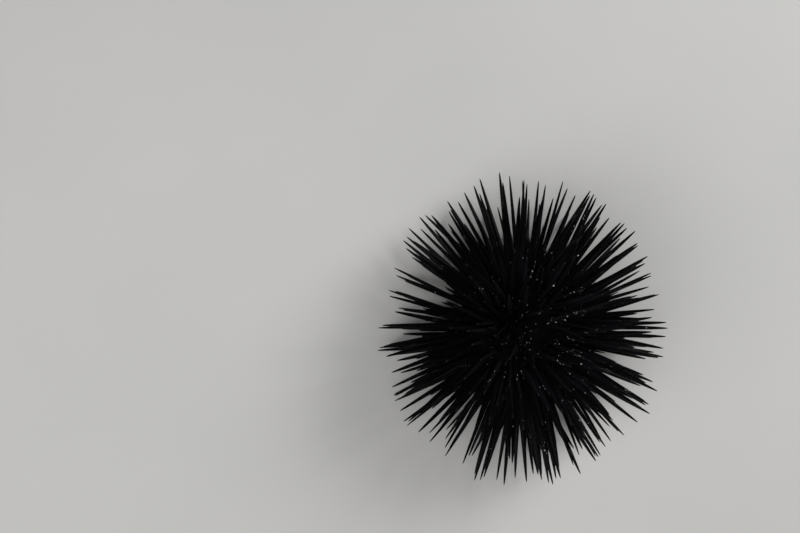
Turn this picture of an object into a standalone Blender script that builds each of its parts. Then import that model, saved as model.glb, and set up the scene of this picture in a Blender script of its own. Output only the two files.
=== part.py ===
"""A black sea urchin, life size, resting on its short lower spines.

The shell is a flattened globe in ten upright sectors: five narrow ones that carry the tube feet
and five wide ones between them. Each sector is one solid with its own spines fused on.
A ring of plates with four small valves closes the top, and a skin with five teeth closes the mouth.
Metres, +Z up, floor at z = 0.
"""

import math

import bmesh
import bpy
import numpy as np
from mathutils import Vector, geometry

# Shell, in metres
SHELL_RADIUS = 0.0240
CROWN_HEIGHT = 0.0150       # widest level up to the top
BELLY_HEIGHT = 0.0100       # edge of the mouth up to the widest level
MOUTH_RADIUS = 0.0115
DISC_RADIUS = 0.0046        # ring of plates at the top
MOUTH_LEVEL = 0.0055        # floor up to the edge of the mouth
CROWN_POWER = 2.15          # 2 is an ellipse, more is squarer
BELLY_POWER = 2.3
WIDEST_LEVEL = MOUTH_LEVEL + BELLY_HEIGHT
GAP = 0.0003                # left free between neighbouring solids

# Sectors
RAYS = 5
RAY_STEP = 2 * math.pi / RAYS
FIRST_RAY = math.pi / 2
NARROW_HALF = math.radians(10.5)
MOUTH_WIDENING = 1.15       # how fast the narrow sectors widen towards the mouth
CORE_RADIUS = 0.0012
SHELL_ROWS = 12
DISC_THICKNESS = 0.0016
MOUTH_DEPTH = 0.0025        # how deep the mouth's skin sits in the shell

# Spines
SPINE_LENGTH = 0.0305
SPINE_RADIUS = 0.00110
SPINE_SINK = 0.0013         # length of the root inside the shell
SPINE_SIDES = 5
SPINE_KNEE = 0.75           # share of the length where the straight shaft starts its point
TAPER_POWER = 0.43          # less is a straighter shaft with a shorter point
BLUNT_TAPER = 0.45          # share of the radius that a resting spine loses
CROWN_SPINE_SHARE = 0.70    # length of the topmost spines against the longest
CROWN_RADIUS_SHARE = 0.78   # thickness of the topmost spines against the thickest
NARROW_SPINE_SHARE = 0.95   # length of the spines on the narrow sectors
NARROW_RADIUS_SHARE = 0.80
BELLY_LOSS = 0.62           # share of the length lost down to the mouth
BELLY_RADIUS_LOSS = 0.3
TALLER = 0.065              # share by which the spines along Y are longer, and along X shorter
RIGHT_LOSS = 0.035          # share by which the spines towards +X are shorter still
REST_SHARE = 0.55           # below this share of the belly the spines rest on the floor
SPINE_CLEARANCE = 0.0003
FLOOR_CLEARANCE = 0.0006

# Rows of spines on one half of a sector
WIDE_ROW, WIDE_STEP = 0.0034, 0.0034
NARROW_ROW = 0.0030
BELLY_ROW, BELLY_STEP = 0.0026, 0.0028
FIRST_WIDE_ROW, FIRST_NARROW_ROW = 0.0015, 0.0021
LAST_ROW_MARGIN = 0.0014
SEAM_MARGIN = 0.00145       # from a sector's side to the nearest root
MIDDLE_MARGIN = 0.0003
ONE_COLUMN_WIDTH = 0.0023   # a half sector narrower than this has one middle column

# How the spines lean, in degrees
SPLAY = 5                   # outward lean of the topmost spines
SCATTER = 5
BUNCHING = 3.5
BUNCHES = ((11, 0.7), (17, 1.0), (26, 0.8))    # bunches round the body and their weight
LOW_LEAN = 0.55             # share of the shell's own slope that a free spine of the belly takes
REST_START, REST_TURN = 84, 48    # steepness of a resting spine, and what it loses near the widest level
LEAN_TRIES = 26
THINNING = 0.3              # share of its thickness that a spine in a crowded place gives up
LENGTH_SCATTER = 0.05
SEED = 5

# Mouth and top
TEETH = 5
TOOTH_RING_RADIUS = 0.0027
TOOTH_KEEL_RADIUS = 0.0003      # from the axis to the inner edge of a tooth
TOOTH_SHOULDER_RADIUS = 0.0016
TOOTH_SHOULDER_DROP = 0.0012    # from the mouth's edge down to a tooth's shoulder
TOOTH_TIP_RADIUS = 0.0008
TOOTH_TIP_LEVEL = 0.0031
LIP_RADIUS = 0.0036
LIP_WIDTH = 0.0010
LIP_DROP = 0.0006
SKIN_RISE = 0.0006          # of the mouth's skin at its outer edge
FOOT_RING_RADIUS = 0.0062
FOOT_SPREAD = math.radians(11)    # from a ray's middle to each of its two feet
FOOT_RADIUS = 0.00065
FOOT_TIP_LEVEL = 0.0026
FOOT_ROOT = 0.0008          # length of a foot's root inside the skin
SUCKER_HEIGHT = 0.0004
VALVE_RADIUS = 0.0014
VALVE_DOME = 0.00035
VALVE_GROOVE = 0.0002
VALVES = 4
PLATE_SWELL = 0.0004        # how far the top plates stand up between their grooves
PLATE_RIM = 0.0001
PLATE_SLOPE = 0.0007        # width of the slope at a plate's inner and outer edge
PLATE_GROOVE = 0.00022


def clear_scene():
    for item in list(bpy.data.objects):
        bpy.data.objects.remove(item, do_unlink=True)


def finish(name, colour, roughness):
    """Plain material with one colour."""
    made = bpy.data.materials.new(name)
    made.use_nodes = True
    shader = made.node_tree.nodes["Principled BSDF"]
    shader.inputs["Base Color"].default_value = (*colour, 1)
    shader.inputs["Roughness"].default_value = roughness
    shader.inputs["Metallic"].default_value = 0
    return made


def mesh_object(name, points, faces, material):
    """Object from points and faces, with its faces turned outwards."""
    mesh = bpy.data.meshes.new(name)
    mesh.from_pydata([tuple(point) for point in points], [], faces)
    shape = bmesh.new()
    shape.from_mesh(mesh)
    bmesh.ops.recalc_face_normals(shape, faces=shape.faces)
    shape.to_mesh(mesh)
    shape.free()
    mesh.materials.append(material)
    made = bpy.data.objects.new(name, mesh)
    bpy.context.scene.collection.objects.link(made)
    return made


def lofted(name, rings, material, closed=False):
    """Solid through rings of equal point count: capped at both ends, or closed into a loop."""
    count = len(rings[0])
    points = [point for ring in rings for point in ring]
    faces = []
    last = len(rings) if closed else len(rings) - 1
    for ring in range(last):
        low = ring * count
        high = (ring + 1) % len(rings) * count
        for side in range(count):
            after = (side + 1) % count
            faces.append((low + side, low + after, high + after, high + side))
    if not closed:
        faces.append(tuple(range(count)))
        faces.append(tuple(range(len(points) - count, len(points))))
    return mesh_object(name, points, faces, material)


def polar(radius, azimuth, height):
    return Vector((radius * math.cos(azimuth), radius * math.sin(azimuth), height))


def ease(start, stop, value):
    """Smooth step from 0 at start to 1 at stop."""
    share = min(1, max(0, (value - start) / (stop - start)))
    return share * share * (3 - 2 * share)


class Meridian:
    """The shell's outline from the disc's edge down to the mouth's edge, by length along it."""

    def __init__(self, samples=1600):
        turn = np.linspace(1e-4, math.pi / 2 - 1e-4, samples)
        radius = SHELL_RADIUS * np.sin(turn) ** (2 / CROWN_POWER)
        height = WIDEST_LEVEL + CROWN_HEIGHT * np.cos(turn) ** (2 / CROWN_POWER)
        crown = np.stack([radius, height])[:, radius > DISC_RADIUS + GAP]
        turn = turn[::-1]
        radius = MOUTH_RADIUS + (SHELL_RADIUS - MOUTH_RADIUS) * np.sin(turn) ** (2 / BELLY_POWER)
        height = WIDEST_LEVEL - BELLY_HEIGHT * np.cos(turn) ** (2 / BELLY_POWER)
        line = np.concatenate([crown, np.stack([radius, height])], axis=1)
        steps = np.hypot(*np.diff(line, axis=1))
        self.along = np.concatenate([[0], np.cumsum(steps)])
        self.line = line
        self.slope = np.gradient(line, self.along, axis=1)
        self.total = self.along[-1]
        self.widest = self.along[np.argmax(line[0])]

    def at(self, distance):
        """Radius, height and the elevation of the outward direction at a distance from the disc."""
        radius = np.interp(distance, self.along, self.line[0])
        height = np.interp(distance, self.along, self.line[1])
        out = -np.interp(distance, self.along, self.slope[1])
        up = np.interp(distance, self.along, self.slope[0])
        return float(radius), float(height), math.atan2(up, out)

    def narrow_half(self, distance):
        """Half the angle that a narrow sector spans at a distance from the disc."""
        if distance <= self.widest:
            return NARROW_HALF
        return NARROW_HALF * (SHELL_RADIUS / self.at(distance)[0]) ** MOUTH_WIDENING


def spine_sites(meridian):
    """Sector kind, ray, distance from the disc and azimuth of each spine's root."""
    sites = []
    for ray in range(RAYS):
        narrow_middle = FIRST_RAY + ray * RAY_STEP
        for side in (-1, 1):
            stagger = (side + 1) / 4
            distance = FIRST_WIDE_ROW + stagger * WIDE_ROW
            while distance < meridian.total - LAST_ROW_MARGIN:
                belly = distance > meridian.widest
                step = BELLY_STEP if belly else WIDE_STEP
                radius = meridian.at(distance)[0]
                half = (RAY_STEP / 2 - meridian.narrow_half(distance)) * radius
                span = half - MIDDLE_MARGIN - SEAM_MARGIN
                columns = max(1, round(span / step + 0.5))
                for column in range(columns):
                    share = column / (columns - 1) if columns > 1 else 0.5
                    offset = MIDDLE_MARGIN + step / 2 + (span - step / 2) * share
                    if half >= ONE_COLUMN_WIDTH:
                        azimuth = narrow_middle + RAY_STEP / 2 + side * offset / radius
                        sites.append(("wide", ray, distance, azimuth))
                    elif side < 0:
                        sites.append(("wide", ray, distance, narrow_middle + RAY_STEP / 2))
                distance += BELLY_ROW if belly else WIDE_ROW
            distance = FIRST_NARROW_ROW + stagger * NARROW_ROW
            while distance < meridian.total - LAST_ROW_MARGIN:
                radius = meridian.at(distance)[0]
                half = meridian.narrow_half(distance) * radius
                if half >= ONE_COLUMN_WIDTH:
                    sites.append(("narrow", ray, distance, narrow_middle + side * half / 2 / radius))
                elif side < 0:
                    sites.append(("narrow", ray, distance, narrow_middle))
                distance += BELLY_ROW if distance > meridian.widest else NARROW_ROW
    return sites


class Spine:
    """A straight tapering spine from its root on the shell to its tip."""

    def __init__(self, kind, ray, foot, direction, length, radius, resting):
        self.kind = kind
        self.ray = ray
        self.foot = foot
        self.direction = direction
        self.length = length
        self.radius = radius
        self.resting = resting
        self.tip = foot + direction * length

    def thickness(self, share):
        """Radius at a share of the length."""
        if self.resting:
            return self.radius * (1 - BLUNT_TAPER * share)
        return self.radius * (1 - share) ** TAPER_POWER


def reach(azimuth):
    """Share of the usual length in a direction: most along Y, least towards +X."""
    return 1 - TALLER * math.cos(2 * azimuth) - RIGHT_LOSS * math.cos(azimuth)


def spine_size(meridian, kind, distance, azimuth, scatter):
    """Length and base radius of a spine by its place."""
    if distance <= meridian.widest:
        rise = distance / meridian.widest
        length = SPINE_LENGTH * (CROWN_SPINE_SHARE + (1 - CROWN_SPINE_SHARE) * ease(0, 0.75, rise))
        radius = SPINE_RADIUS * (CROWN_RADIUS_SHARE + (1 - CROWN_RADIUS_SHARE) * ease(0, 0.6, rise))
    else:
        fall = (distance - meridian.widest) / (meridian.total - meridian.widest)
        length = SPINE_LENGTH * (1 - BELLY_LOSS * ease(0.05, 0.9, fall))
        radius = SPINE_RADIUS * (1 - BELLY_RADIUS_LOSS * fall)
    if kind == "narrow":
        length *= NARROW_SPINE_SHARE
        radius *= NARROW_RADIUS_SHARE
    return length * (1 + scatter) * reach(azimuth), radius


def nearest_room(spine, others):
    """Free space between a spine and the nearest of the others, measured along their axes."""
    if not others:
        return 1.0
    root = spine.foot - spine.direction * SPINE_SINK
    axis = spine.tip - root
    roots = np.array([other.foot - other.direction * SPINE_SINK for other in others])
    axes = np.array([other.tip for other in others]) - roots
    between = root - roots
    aa = axis @ axis
    ab = axes @ axis
    bb = np.einsum("ij,ij->i", axes, axes)
    a_between = between @ axis
    b_between = np.einsum("ij,ij->i", axes, between)
    spread = np.maximum(aa * bb - ab ** 2, 1e-18)
    first = np.clip((ab * b_between - bb * a_between) / spread, 0, 1)
    second = np.clip((ab * first + b_between) / bb, 0, 1)
    first = np.clip((ab * second - a_between) / aa, 0, 1)
    apart = np.linalg.norm(between + first[:, None] * axis - second[:, None] * axes, axis=1)
    near = np.argsort(apart)[:12]
    return min(
        apart[i] - spine.thickness(first[i]) - others[i].thickness(second[i])
        for i in near
    )


def placed_spine(meridian, site, lean, size):
    """Spine at a site, with a lean along the surface and round it, in radians."""
    kind, ray, distance, azimuth = site
    length, radius = size
    ring_radius, height, elevation = meridian.at(distance)
    outward = np.array([math.cos(azimuth), math.sin(azimuth), 0])
    around = np.array([-math.sin(azimuth), math.cos(azimuth), 0])
    upward = np.array([0, 0, 1.0])
    foot = outward * ring_radius + upward * height
    resting = False
    if distance <= meridian.widest:
        elevation -= math.radians(SPLAY) * ease(0, 1, 1 - distance / meridian.widest)
        elevation += lean[0]
    else:
        fall = (distance - meridian.widest) / (meridian.total - meridian.widest)
        resting = fall > REST_SHARE
        if resting:
            spread = REST_TURN * (1 - ease(0.5, 1, fall))
            elevation = math.radians(spread - REST_START) + lean[0]
        else:
            lowest = -math.asin(min(1, (height - FLOOR_CLEARANCE) / length))
            elevation = max((elevation + lean[0]) * LOW_LEAN, lowest)
    direction = outward * math.cos(elevation) + upward * math.sin(elevation)
    direction = direction * math.cos(lean[1]) + around * math.sin(lean[1])
    if resting:
        length = -height / direction[2]
    return Spine(kind, ray, foot, direction, length, radius, resting)


def spine_layout(meridian):
    """All spines, each turned and thinned until it clears those before it, or else left out."""
    chance = np.random.default_rng(SEED)
    phases = chance.uniform(0, 2 * math.pi, len(BUNCHES))
    spines = []
    for site in spine_sites(meridian):
        kind, ray, distance, azimuth = site
        scatter = LENGTH_SCATTER * chance.uniform(-1.3, 1)
        length, radius = spine_size(meridian, kind, distance, azimuth, scatter)
        around = 0
        along = 0
        for (count, weight), phase in zip(BUNCHES, phases):
            around += weight * math.sin(count * azimuth + phase + 180 * distance)
            along += weight * math.sin((count + 3) * azimuth + phase - 140 * distance)
        for attempt in range(LEAN_TRIES):
            calm = 1 - attempt / LEAN_TRIES
            wander = SCATTER * (0.4 + 0.6 * calm) * chance.normal(size=2)
            lean = np.radians([
                0.35 * BUNCHING * along * calm + wander[0],
                0.5 * BUNCHING * around * calm + wander[1],
            ])
            size = length, radius * (1 - THINNING * (1 - calm))
            spine = placed_spine(meridian, site, lean, size)
            if nearest_room(spine, spines) > SPINE_CLEARANCE:
                spines.append(spine)
                break
    return spines


def spine_object(spine, material):
    """Closed solid of one spine, with its root sunk in the shell."""
    direction = Vector(spine.direction)
    foot = Vector(spine.foot)
    side = direction.orthogonal().normalized()
    other = direction.cross(side)

    def ring(distance, radius):
        made = []
        for corner in range(SPINE_SIDES):
            turn = 2 * math.pi * corner / SPINE_SIDES
            offset = side * math.cos(turn) + other * math.sin(turn)
            made.append(foot + direction * distance + offset * radius)
        return made

    if spine.resting:
        root = ring(-SPINE_SINK, spine.radius)
        rest = []
        for point in ring(spine.length, spine.thickness(1)):
            flat = point - direction * (point.z / direction.z)
            flat.z = 0
            rest.append(flat)
        return lofted("spine", [root, rest], material)
    points = ring(-SPINE_SINK, spine.radius)
    points += ring(spine.length * SPINE_KNEE, spine.thickness(SPINE_KNEE))
    points.append(Vector(spine.tip))
    count = SPINE_SIDES
    faces = [tuple(range(count))]
    for corner in range(count):
        after = (corner + 1) % count
        faces.append((corner, after, count + after, count + corner))
        faces.append((count + corner, count + after, 2 * count))
    return mesh_object("spine", points, faces, material)


def keep_largest_shell(item):
    """Drop every loose surface but the largest."""
    shape = bmesh.new()
    shape.from_mesh(item.data)
    waiting = set(shape.faces)
    shells = []
    while waiting:
        shell = set()
        edge = [waiting.pop()]
        while edge:
            face = edge.pop()
            shell.add(face)
            for side in face.edges:
                for near in side.link_faces:
                    if near in waiting:
                        waiting.remove(near)
                        edge.append(near)
        shells.append(shell)
    shells.sort(key=lambda shell: sum(face.calc_area() for face in shell))
    for shell in shells[:-1]:
        bmesh.ops.delete(shape, geom=list(shell), context="FACES")
    bmesh.ops.delete(shape, geom=[v for v in shape.verts if not v.link_faces], context="VERTS")
    shape.to_mesh(item.data)
    shape.free()


def fused(base, pieces):
    """Join closed pieces to a closed base with one union, and remove the pieces."""
    group = bpy.data.collections.new(base.name + "_pieces")
    for piece in pieces:
        group.objects.link(piece)
    union = base.modifiers.new("union", "BOOLEAN")
    union.operation = "UNION"
    union.operand_type = "COLLECTION"
    union.collection = group
    union.solver = "EXACT"
    bpy.context.view_layer.update()
    seen = base.evaluated_get(bpy.context.evaluated_depsgraph_get())
    joined = bpy.data.meshes.new_from_object(seen)
    base.modifiers.clear()
    base.data = joined
    for piece in list(group.objects):
        bpy.data.objects.remove(piece, do_unlink=True)
    bpy.data.collections.remove(group)
    keep_largest_shell(base)
    return base


def sector_outline(meridian):
    """Radius, height and share of the narrow half angle round a sector's upright section."""
    seat = meridian.at(0)[1] - DISC_THICKNESS - GAP
    roof = MOUTH_LEVEL + MOUTH_DEPTH
    middle = RAY_STEP / 4
    outline = [(CORE_RADIUS, seat, middle), (DISC_RADIUS + GAP, seat, NARROW_HALF)]
    for row in range(SHELL_ROWS + 1):
        distance = meridian.total * row / SHELL_ROWS
        radius, height, _ = meridian.at(distance)
        outline.append((radius, height, meridian.narrow_half(distance)))
    mouth_half = meridian.narrow_half(meridian.total)
    outline.append((MOUTH_RADIUS, roof, mouth_half))
    outline.append((CORE_RADIUS, roof, middle))
    return outline


def sector(name, meridian, middle, wide, columns, material):
    """Upright solid wedge of the shell between two sides that keep the gap to its neighbours."""
    outline = sector_outline(meridian)
    points = []
    for radius, height, narrow_half in outline:
        half = RAY_STEP / 2 - narrow_half if wide else narrow_half
        half -= math.asin(GAP / 2 / radius)
        for column in range(columns + 1):
            share = 2 * column / columns - 1
            points.append(polar(radius, middle + half * share, height))
    width = columns + 1
    faces = []
    for row in range(len(outline)):
        low = row * width
        high = (row + 1) % len(outline) * width
        for column in range(columns):
            corners = (low + column, low + column + 1, high + column + 1, high + column)
            faces.append(corners[:3])
            faces.append((corners[0], corners[2], corners[3]))
    flat = [Vector((radius, height, 0)) for radius, height, _ in outline]
    for triangle in geometry.tessellate_polygon([flat]):
        faces.append([corner * width for corner in triangle])
        faces.append([corner * width + columns for corner in triangle])
    return mesh_object(name, points, faces, material)


def crown_height(radius):
    """Height of the shell's own curve over a radius near the top."""
    flat = (radius / SHELL_RADIUS) ** CROWN_POWER
    return WIDEST_LEVEL + CROWN_HEIGHT * (1 - flat) ** (1 / CROWN_POWER)


def top_disc(material):
    """Ring of five large and five small plates, parted by shallow grooves."""
    around = 50
    step = 2 * math.pi / around
    inner = VALVE_RADIUS + GAP
    bottom = crown_height(DISC_RADIUS + GAP) - DISC_THICKNESS

    def ring(radius, lift, depth):
        made = []
        for point in range(around):
            parted = point % (around // RAYS) in (2, around // RAYS - 2)
            height = crown_height(radius) + lift - (depth if parted else 0)
            made.append(polar(radius, FIRST_RAY + point * step, height))
        return made

    floor_rings = []
    for radius in (DISC_RADIUS, inner):
        floor_rings.append([polar(radius, FIRST_RAY + point * step, bottom) for point in range(around)])
    rings = [
        floor_rings[1],
        ring(inner, PLATE_RIM, 0),
        ring(inner + PLATE_SLOPE, PLATE_SWELL, PLATE_GROOVE),
        ring(DISC_RADIUS - PLATE_SLOPE, PLATE_SWELL, PLATE_GROOVE),
        ring(DISC_RADIUS, PLATE_RIM, 0),
        floor_rings[0],
    ]
    return lofted("apical_disc", rings, material, closed=True)


def top_valves(material):
    """Low dome of four small valves in the middle of the top."""
    around = 24
    bottom = crown_height(DISC_RADIUS + GAP) - DISC_THICKNESS

    def ring(radius, height, depth):
        made = []
        for point in range(around):
            parted = point % (around // VALVES) == 0
            lowered = height - (depth if parted else 0)
            made.append(polar(radius, 2 * math.pi * (point + 0.5) / around, lowered))
        return made

    top = crown_height(0)
    rings = [
        ring(VALVE_RADIUS, bottom, 0),
        ring(VALVE_RADIUS, top - VALVE_GROOVE, 0),
        ring(VALVE_RADIUS * 0.62, top + VALVE_DOME, VALVE_GROOVE),
        ring(VALVE_RADIUS * 0.18, top + VALVE_DOME / 2, 0),
    ]
    return lofted("periproct", rings, material)


def mouth_skin(material):
    """Round skin of the mouth, with thick lips and five pairs of short feet."""
    around = 40
    roof = MOUTH_LEVEL + MOUTH_DEPTH - GAP
    inner = TOOTH_RING_RADIUS + GAP

    def ring(radius, height):
        return [polar(radius, 2 * math.pi * point / around, height) for point in range(around)]

    outer = MOUTH_RADIUS - GAP
    rings = [
        ring(inner, roof),
        ring(inner, MOUTH_LEVEL),
        ring(LIP_RADIUS, MOUTH_LEVEL - LIP_DROP),
        ring(LIP_RADIUS + LIP_WIDTH, MOUTH_LEVEL + SKIN_RISE / 3),
        ring((LIP_RADIUS + outer) / 2, MOUTH_LEVEL + SKIN_RISE / 6),
        ring(outer, MOUTH_LEVEL + SKIN_RISE),
        ring(outer, roof),
    ]
    skin = lofted("peristome", rings, material, closed=True)
    feet = []
    for ray in range(RAYS):
        for side in (-1, 1):
            azimuth = FIRST_RAY + ray * RAY_STEP + side * FOOT_SPREAD
            feet.append(mouth_foot(polar(FOOT_RING_RADIUS, azimuth, 0), material))
    return fused(skin, feet)


def mouth_foot(place, material):
    """Short stalk with a wider sucker at its end."""
    sides = 8

    def ring(radius, height):
        made = []
        for side in range(sides):
            turn = 2 * math.pi * side / sides
            made.append(place + polar(radius, turn, height))
        return made

    rings = [
        ring(FOOT_RADIUS, MOUTH_LEVEL + FOOT_ROOT),
        ring(FOOT_RADIUS * 0.8, FOOT_TIP_LEVEL + 2 * SUCKER_HEIGHT),
        ring(FOOT_RADIUS * 1.35, FOOT_TIP_LEVEL + SUCKER_HEIGHT),
        ring(FOOT_RADIUS * 1.2, FOOT_TIP_LEVEL),
    ]
    return lofted("foot", rings, material)


def tooth(number, material):
    """One of five pale teeth that meet in a point below the lips."""
    middle = FIRST_RAY + number * RAY_STEP
    half = RAY_STEP / 2
    roof = MOUTH_LEVEL + MOUTH_DEPTH - GAP

    def section(outer, height, share):
        corner = half * share - math.asin(GAP / 2 / outer)
        return [
            polar(TOOTH_KEEL_RADIUS, middle, height),
            polar(outer, middle + corner, height),
            polar(outer * 1.04, middle, height),
            polar(outer, middle - corner, height),
        ]

    widest = TOOTH_RING_RADIUS * 0.94
    rings = [
        section(widest, roof, 1),
        section(widest, MOUTH_LEVEL, 1),
        section(TOOTH_SHOULDER_RADIUS, MOUTH_LEVEL - TOOTH_SHOULDER_DROP, 0.9),
        section(TOOTH_TIP_RADIUS, TOOTH_TIP_LEVEL, 0.7),
    ]
    return lofted(f"tooth_{number + 1}", rings, material)


def shell_sectors(meridian, spines, shell_finish, spine_finish):
    """The ten sectors of the shell, each with its own spines."""
    made = []
    for ray in range(RAYS):
        middle = FIRST_RAY + ray * RAY_STEP
        for kind, name, shift, columns in (
            ("narrow", "ambulacrum", 0, 2),
            ("wide", "interambulacrum", RAY_STEP / 2, 4),
        ):
            base = sector(
                f"{name}_{ray + 1}", meridian, middle + shift, kind == "wide", columns, shell_finish
            )
            own = [spine for spine in spines if (spine.kind, spine.ray) == (kind, ray)]
            made.append(fused(base, [spine_object(spine, spine_finish) for spine in own]))
    return made


def main():
    clear_scene()
    shell_finish = finish("shell_black", (0.0040, 0.0035, 0.0040), 0.60)
    spine_finish = finish("spine_black", (0.0040, 0.0040, 0.0050), 0.40)
    plate_finish = finish("plate_black", (0.0035, 0.0035, 0.0038), 0.60)
    valve_finish = finish("valve_dark", (0.0080, 0.0065, 0.0060), 0.60)
    skin_finish = finish("mouth_skin_dark", (0.020, 0.014, 0.012), 0.50)
    tooth_finish = finish("tooth_ivory", (0.720, 0.680, 0.560), 0.35)
    meridian = Meridian()
    spines = spine_layout(meridian)
    tips = np.array([spine.tip for spine in spines])
    solids = shell_sectors(meridian, spines, shell_finish, spine_finish)
    solids.append(top_disc(plate_finish))
    solids.append(top_valves(valve_finish))
    solids.append(mouth_skin(skin_finish))
    solids += [tooth(number, tooth_finish) for number in range(TEETH)]
    body = bpy.data.objects.new("urchin", None)
    bpy.context.scene.collection.objects.link(body)
    middle = (tips.min(axis=0) + tips.max(axis=0)) / 2
    body.location = (-middle[0], -middle[1], 0)
    for solid in solids:
        solid.parent = body


main()
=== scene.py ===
"""Looks of the black sea urchin: one dark shell, ribbed spines, feet, top plates, mouth and teeth.

Everything is placed by the same named sizes and the same seeded spine layout as the solids,
about the upright axis that the frame gives. Metres, +Z up, floor at z = 0.
"""

import math

import bpy
import numpy as np
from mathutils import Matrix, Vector


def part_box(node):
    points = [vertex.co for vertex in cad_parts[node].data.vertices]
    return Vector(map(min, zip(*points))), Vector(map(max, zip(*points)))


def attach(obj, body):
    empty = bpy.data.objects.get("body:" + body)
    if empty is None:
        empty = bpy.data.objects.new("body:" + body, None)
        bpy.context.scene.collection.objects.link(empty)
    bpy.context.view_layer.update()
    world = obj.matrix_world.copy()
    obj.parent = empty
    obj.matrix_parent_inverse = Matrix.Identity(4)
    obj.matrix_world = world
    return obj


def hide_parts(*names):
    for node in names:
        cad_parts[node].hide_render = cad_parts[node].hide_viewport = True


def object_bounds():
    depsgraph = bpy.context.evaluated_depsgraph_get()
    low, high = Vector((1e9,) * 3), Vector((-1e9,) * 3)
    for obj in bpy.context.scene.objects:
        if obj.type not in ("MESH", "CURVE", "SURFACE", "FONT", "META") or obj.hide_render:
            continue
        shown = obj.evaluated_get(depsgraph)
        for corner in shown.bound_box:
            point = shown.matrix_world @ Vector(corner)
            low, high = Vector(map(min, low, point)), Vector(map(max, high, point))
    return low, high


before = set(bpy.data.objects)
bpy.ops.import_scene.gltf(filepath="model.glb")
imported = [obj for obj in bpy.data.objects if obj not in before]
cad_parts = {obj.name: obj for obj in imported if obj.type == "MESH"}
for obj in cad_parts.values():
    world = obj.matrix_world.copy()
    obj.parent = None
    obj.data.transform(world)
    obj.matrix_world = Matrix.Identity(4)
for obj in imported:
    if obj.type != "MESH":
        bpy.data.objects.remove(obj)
solid_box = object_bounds()

# Shell, as in the solids
SHELL_RADIUS = 0.0240
CROWN_HEIGHT = 0.0150
BELLY_HEIGHT = 0.0100
MOUTH_RADIUS = 0.0115
DISC_RADIUS = 0.0046
MOUTH_LEVEL = 0.0055
CROWN_POWER = 2.15
BELLY_POWER = 2.3
WIDEST_LEVEL = MOUTH_LEVEL + BELLY_HEIGHT
DISC_THICKNESS = 0.0016
MOUTH_DEPTH = 0.0025
GAP = 0.0003

# Skin of the shell
SKIN_COLUMNS, SKIN_ROWS = 360, 120
SKIN_DEPTH = 0.00015        # how far it lies inside the solids' surface
HEM_DEPTH = 0.0011          # how far its edges turn in under the top plates and the mouth's skin
HEM_SHARE = 0.975
PLATE_SEAM = 0.00009, 0.00016       # depth and half width of the grooves between plates
COLUMN_SEAM = 0.00009, 0.00018
SECTOR_SEAM = 0.00012, 0.00020

# Sectors
RAYS = 5
RAY_STEP = 2 * math.pi / RAYS
FIRST_RAY = math.pi / 2
NARROW_HALF = math.radians(10.5)
MOUTH_WIDENING = 1.15

# Spines
SPINE_LENGTH = 0.0305
SPINE_RADIUS = 0.00110
SPINE_SINK = 0.0013         # length of the root inside the shell
TAPER_POWER = 0.43          # less is a straighter shaft with a shorter point
BLUNT_TAPER = 0.45          # share of the radius that a resting spine loses
CROWN_SPINE_SHARE = 0.70    # length of the topmost spines against the longest
CROWN_RADIUS_SHARE = 0.78   # thickness of the topmost spines against the thickest
NARROW_SPINE_SHARE = 0.95   # length of the spines on the narrow sectors
NARROW_RADIUS_SHARE = 0.80
BELLY_LOSS = 0.62           # share of the length lost down to the mouth
BELLY_RADIUS_LOSS = 0.3
TALLER = 0.065              # share by which the spines along Y are longer, and along X shorter
RIGHT_LOSS = 0.035          # share by which the spines towards +X are shorter still
REST_SHARE = 0.55           # below this share of the belly the spines rest on the floor
SPINE_CLEARANCE = 0.0003
FLOOR_CLEARANCE = 0.0006

# Rows of spines on one half of a sector
WIDE_ROW, WIDE_STEP = 0.0034, 0.0034
NARROW_ROW = 0.0030
BELLY_ROW, BELLY_STEP = 0.0026, 0.0028
FIRST_WIDE_ROW, FIRST_NARROW_ROW = 0.0015, 0.0021
LAST_ROW_MARGIN = 0.0014
SEAM_MARGIN = 0.00145       # from a sector's side to the nearest root
MIDDLE_MARGIN = 0.0003
ONE_COLUMN_WIDTH = 0.0023   # a half sector narrower than this has one middle column

# How the spines lean, in degrees
SPLAY = 5                   # outward lean of the topmost spines
SCATTER = 5
BUNCHING = 3.5
BUNCHES = ((11, 0.7), (17, 1.0), (26, 0.8))    # bunches round the body and their weight
LOW_LEAN = 0.55             # share of the shell's own slope that a free spine of the belly takes
REST_START, REST_TURN = 84, 48    # steepness of a resting spine, and what it loses near the widest level
LEAN_TRIES = 26
THINNING = 0.3              # share of its thickness that a spine in a crowded place gives up
LENGTH_SCATTER = 0.05
SEED = 5

# Finer spines between the large ones
FINE_SEED = 21
FINE_SPINES = 170
CROWN_SPINES = 60           # the shortest ones, close round the top plates
CROWN_SPREAD = 0.0065       # width of the band that they fill
FINE_CLEARANCE = 0.00012
FINE_WIDTHS = 0.42, 0.68    # against a large spine's

# Form of a spine and of the knob under it, in units of the spine's base radius
SPINE_RIBS = 12
RIB_DEPTH = 0.045
POINT_SHARE = 0.018         # width of the very tip
BOWING = 0.0022             # how far a spine bends, in its own lengths
FLATTENING = 0.22           # of the end of a resting spine
COLLAR = (                  # rings near the root: distance from the shell and width
    (-0.80, 0.60), (0.10, 0.62), (0.32, 0.92), (0.50, 1.14), (0.78, 1.16), (0.98, 0.97), (1.35, 0.93),
)
SHAFT_SHARES = (            # further rings, in shares of the length
    0.05, 0.10, 0.18, 0.27, 0.36, 0.45, 0.54, 0.62, 0.70, 0.77, 0.83, 0.885, 0.93, 0.965, 0.988, 1,
)
KNOB = ((1.75, -0.30), (1.65, 0.02), (1.25, 0.16), (0.95, 0.30), (0.70, 0.44), (0.30, 0.52))
KNOB_COLUMNS = 14

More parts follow.
